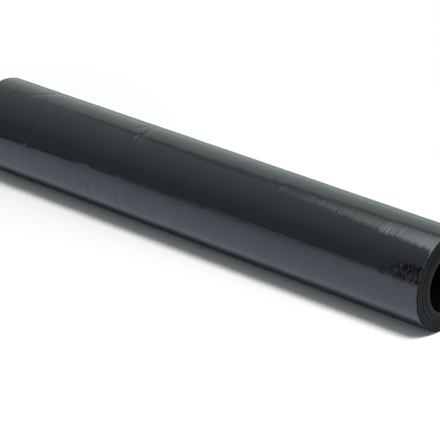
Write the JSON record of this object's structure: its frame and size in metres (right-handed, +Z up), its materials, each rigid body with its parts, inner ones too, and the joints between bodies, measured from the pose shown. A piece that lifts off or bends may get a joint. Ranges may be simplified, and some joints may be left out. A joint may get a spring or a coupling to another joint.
{
  "type": "stretch wrap roll",
  "caption": "Roll of black stretch film wound on a plastic core tube, lying on its side, for wrapping pallets and packs by hand.",
  "frame": {"origin": "on the surface the roll lies on, under the middle of the roll", "axes": "+X along the roll's axis, +Z up from the surface it lies on"},
  "size_m": [0.501, 0.084, 0.0836],
  "materials": {
    "film": "gloss",
    "core": "satin"
  },
  "bodies": {
    "root": {"film_roll": "film", "core_tube": "core"}
  },
  "joints": []
}
